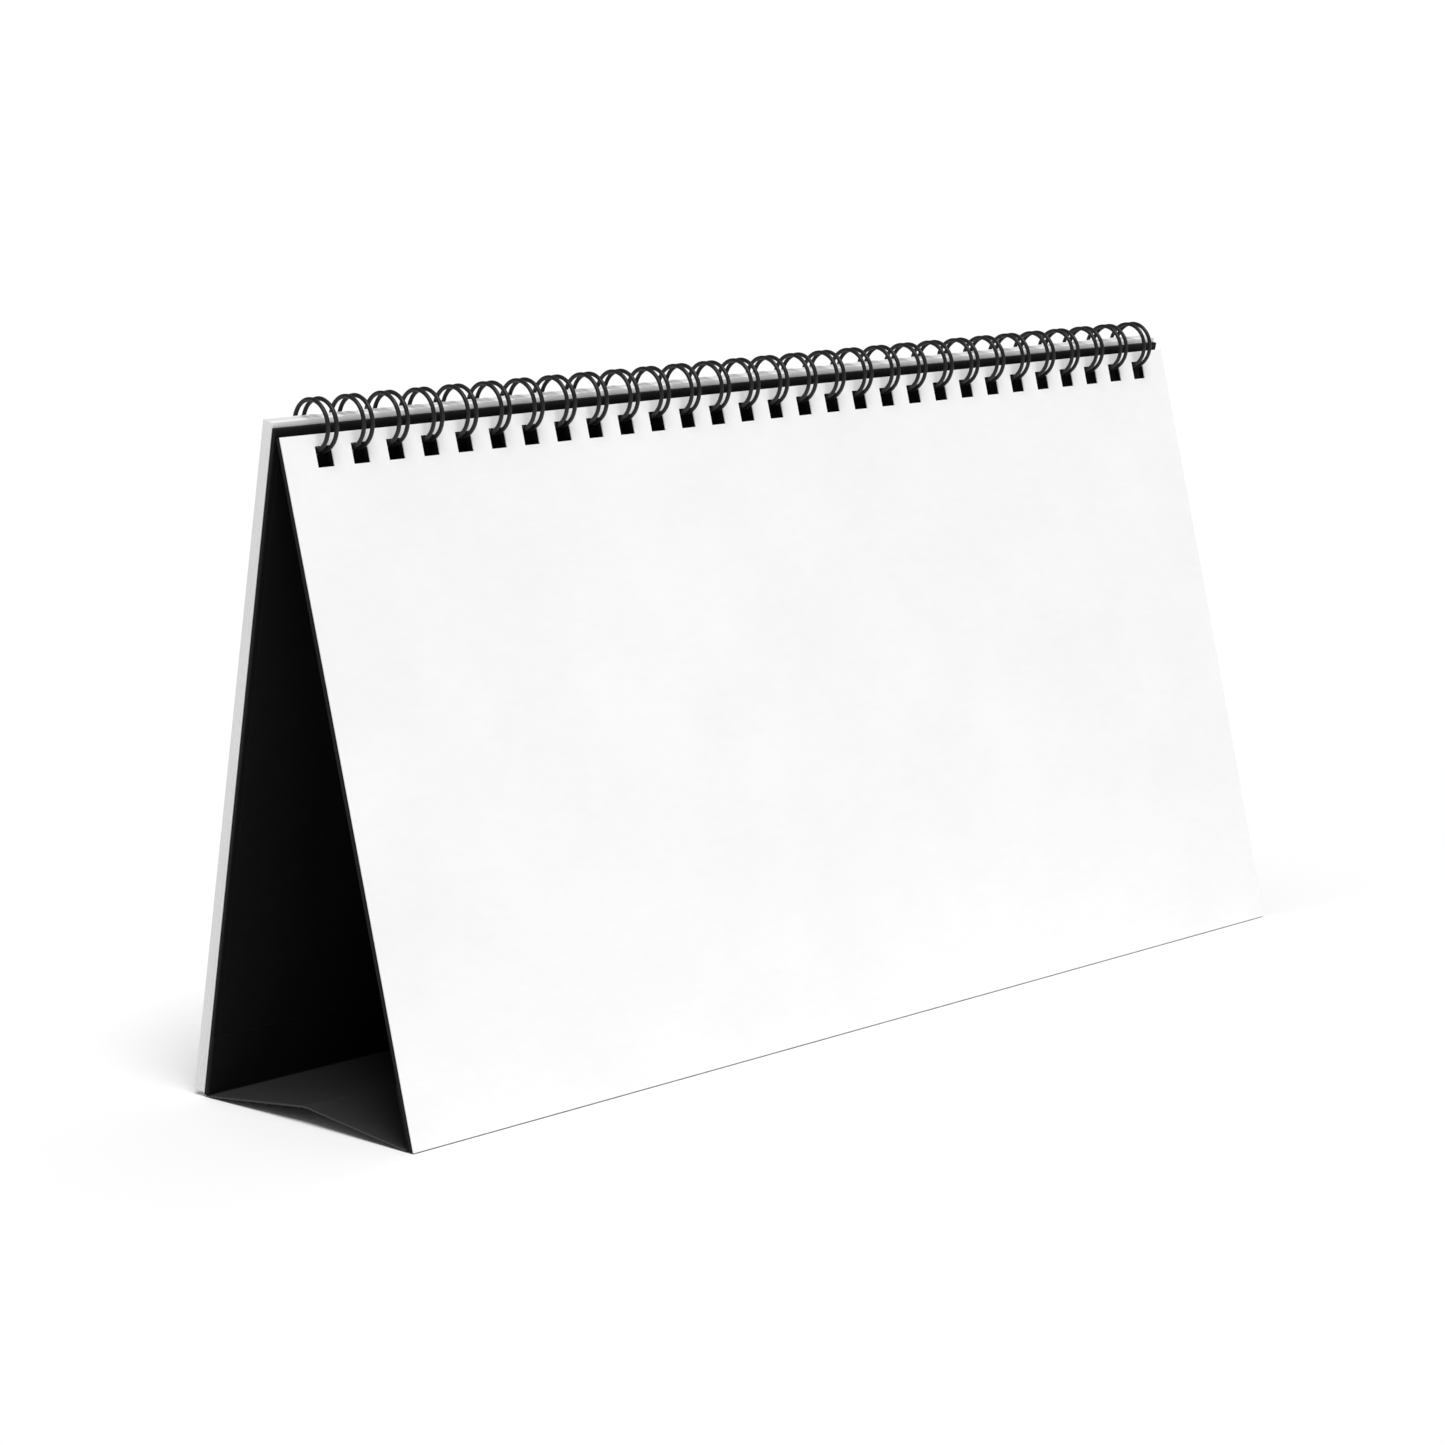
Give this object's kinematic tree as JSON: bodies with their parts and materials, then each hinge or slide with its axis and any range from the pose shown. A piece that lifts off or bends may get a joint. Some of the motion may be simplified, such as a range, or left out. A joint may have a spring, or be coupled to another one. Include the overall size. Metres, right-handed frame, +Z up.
{
  "type": "flip desk calendar",
  "caption": "Folding A-frame desk calendar: two black boards joined by twin-loop wire along the ridge and a creased card base, with blank leaves that turn over the wire.",
  "frame": {"origin": "on the floor under the middle of the object's box", "axes": "+X along the binding, -Y towards the reader, +Z up"},
  "size_m": [0.256, 0.0651, 0.1358],
  "materials": {
    "cover_paper": "matte black cover paper",
    "board": "black-dyed bookbinding board, cut edges",
    "web_card": "smooth black card, creased",
    "leaf_paper": "uncoated white paper",
    "wire": "black nylon-coated steel wire, soft sheen"
  },
  "bodies": {
    "front_panel": {"front_panel_cover_paper": "cover_paper", "front_panel_board": "board", "front_panel_lining_paper": "cover_paper", "base_tab_front": "web_card", "wire_binding": "wire"},
    "back_panel": {"back_panel_cover_paper": "cover_paper", "back_panel_board": "board", "back_panel_lining_paper": "cover_paper", "base_tab_rear": "web_card"},
    "base_flap_front": {"base_flap_front": "web_card"},
    "base_flap_rear": {"base_flap_rear": "web_card"},
    "front_leaf": {"front_leaf": "leaf_paper"},
    "turned_leaf_01": {"turned_leaf_01": "leaf_paper"},
    "turned_leaf_02": {"turned_leaf_02": "leaf_paper"},
    "turned_leaf_03": {"turned_leaf_03": "leaf_paper"},
    "turned_leaf_04": {"turned_leaf_04": "leaf_paper"},
    "turned_leaf_05": {"turned_leaf_05": "leaf_paper"},
    "turned_leaf_06": {"turned_leaf_06": "leaf_paper"},
    "turned_leaf_07": {"turned_leaf_07": "leaf_paper"},
    "turned_leaf_08": {"turned_leaf_08": "leaf_paper"},
    "turned_leaf_09": {"turned_leaf_09": "leaf_paper"},
    "turned_leaf_10": {"turned_leaf_10": "leaf_paper"},
    "turned_leaf_11": {"turned_leaf_11": "leaf_paper"},
    "turned_leaf_12": {"turned_leaf_12": "leaf_paper"}
  },
  "joints": [
    {"name": "stand_fold", "type": "hinge", "parent": "front_panel", "child": "back_panel", "pos_m": [0, -0.00166, 0.12777], "axis": [-1, 0, 0], "range_deg": [0, 9], "deforming": ["base_flap_rear"]},
    {"name": "base_front_fold", "type": "hinge", "parent": "front_panel", "child": "base_flap_front", "pos_m": [0, -0.03023, 0.00035], "axis": [1, 0, 0], "range_deg": [0, 39.28]},
    {"name": "base_crease", "type": "hinge", "parent": "base_flap_front", "child": "base_flap_rear", "pos_m": [0, -0.00123, 0.0035], "axis": [-1, 0, 0], "range_deg": [0, 87.26]},
    {"name": "front_leaf_turn", "type": "hinge", "parent": "front_panel", "child": "front_leaf", "pos_m": [0, -0.00166, 0.13057], "axis": [-1, 0, 0], "range_deg": [0, 165]},
    {"name": "turned_leaf_12_turn", "type": "hinge", "parent": "back_panel", "child": "turned_leaf_12", "pos_m": [0, -0.00166, 0.13057], "axis": [1, 0, 0], "range_deg": [0, 30]},
    {"name": "turned_leaf_11_turn", "type": "hinge", "parent": "back_panel", "child": "turned_leaf_11", "pos_m": [0, -0.00166, 0.13057], "axis": [1, 0, 0], "range_deg": [0, 28.47]},
    {"name": "turned_leaf_10_turn", "type": "hinge", "parent": "back_panel", "child": "turned_leaf_10", "pos_m": [0, -0.00166, 0.13057], "axis": [1, 0, 0], "range_deg": [0, 26.83]},
    {"name": "turned_leaf_09_turn", "type": "hinge", "parent": "back_panel", "child": "turned_leaf_09", "pos_m": [0, -0.00166, 0.13057], "axis": [1, 0, 0], "range_deg": [0, 25.19]},
    {"name": "turned_leaf_08_turn", "type": "hinge", "parent": "back_panel", "child": "turned_leaf_08", "pos_m": [0, -0.00166, 0.13057], "axis": [1, 0, 0], "range_deg": [0, 23.55]},
    {"name": "turned_leaf_07_turn", "type": "hinge", "parent": "back_panel", "child": "turned_leaf_07", "pos_m": [0, -0.00166, 0.13057], "axis": [1, 0, 0], "range_deg": [0, 21.92]},
    {"name": "turned_leaf_06_turn", "type": "hinge", "parent": "back_panel", "child": "turned_leaf_06", "pos_m": [0, -0.00166, 0.13057], "axis": [1, 0, 0], "range_deg": [0, 20.28]},
    {"name": "turned_leaf_05_turn", "type": "hinge", "parent": "back_panel", "child": "turned_leaf_05", "pos_m": [0, -0.00166, 0.13057], "axis": [1, 0, 0], "range_deg": [0, 18.65]},
    {"name": "turned_leaf_04_turn", "type": "hinge", "parent": "back_panel", "child": "turned_leaf_04", "pos_m": [0, -0.00166, 0.13057], "axis": [1, 0, 0], "range_deg": [0, 17.01]},
    {"name": "turned_leaf_03_turn", "type": "hinge", "parent": "back_panel", "child": "turned_leaf_03", "pos_m": [0, -0.00166, 0.13057], "axis": [1, 0, 0], "range_deg": [0, 15.37]},
    {"name": "turned_leaf_02_turn", "type": "hinge", "parent": "back_panel", "child": "turned_leaf_02", "pos_m": [0, -0.00166, 0.13057], "axis": [1, 0, 0], "range_deg": [0, 13.73]},
    {"name": "turned_leaf_01_turn", "type": "hinge", "parent": "back_panel", "child": "turned_leaf_01", "pos_m": [0, -0.00166, 0.13057], "axis": [1, 0, 0], "range_deg": [0, 12.1]}
  ],
  "couplings": [
    {"joint": "base_front_fold", "follows": "stand_fold", "ratio": 4.309},
    {"joint": "base_crease", "follows": "stand_fold", "ratio": 9.6404},
    {"joint": "turned_leaf_11_turn", "follows": "turned_leaf_12_turn", "ratio": 0.9455},
    {"joint": "turned_leaf_10_turn", "follows": "turned_leaf_12_turn", "ratio": 0.8909},
    {"joint": "turned_leaf_09_turn", "follows": "turned_leaf_12_turn", "ratio": 0.8364},
    {"joint": "turned_leaf_08_turn", "follows": "turned_leaf_12_turn", "ratio": 0.7818},
    {"joint": "turned_leaf_07_turn", "follows": "turned_leaf_12_turn", "ratio": 0.7273},
    {"joint": "turned_leaf_06_turn", "follows": "turned_leaf_12_turn", "ratio": 0.6727},
    {"joint": "turned_leaf_05_turn", "follows": "turned_leaf_12_turn", "ratio": 0.6182},
    {"joint": "turned_leaf_04_turn", "follows": "turned_leaf_12_turn", "ratio": 0.5636},
    {"joint": "turned_leaf_03_turn", "follows": "turned_leaf_12_turn", "ratio": 0.5091},
    {"joint": "turned_leaf_02_turn", "follows": "turned_leaf_12_turn", "ratio": 0.4545},
    {"joint": "turned_leaf_01_turn", "follows": "turned_leaf_12_turn", "ratio": 0.4}
  ]
}
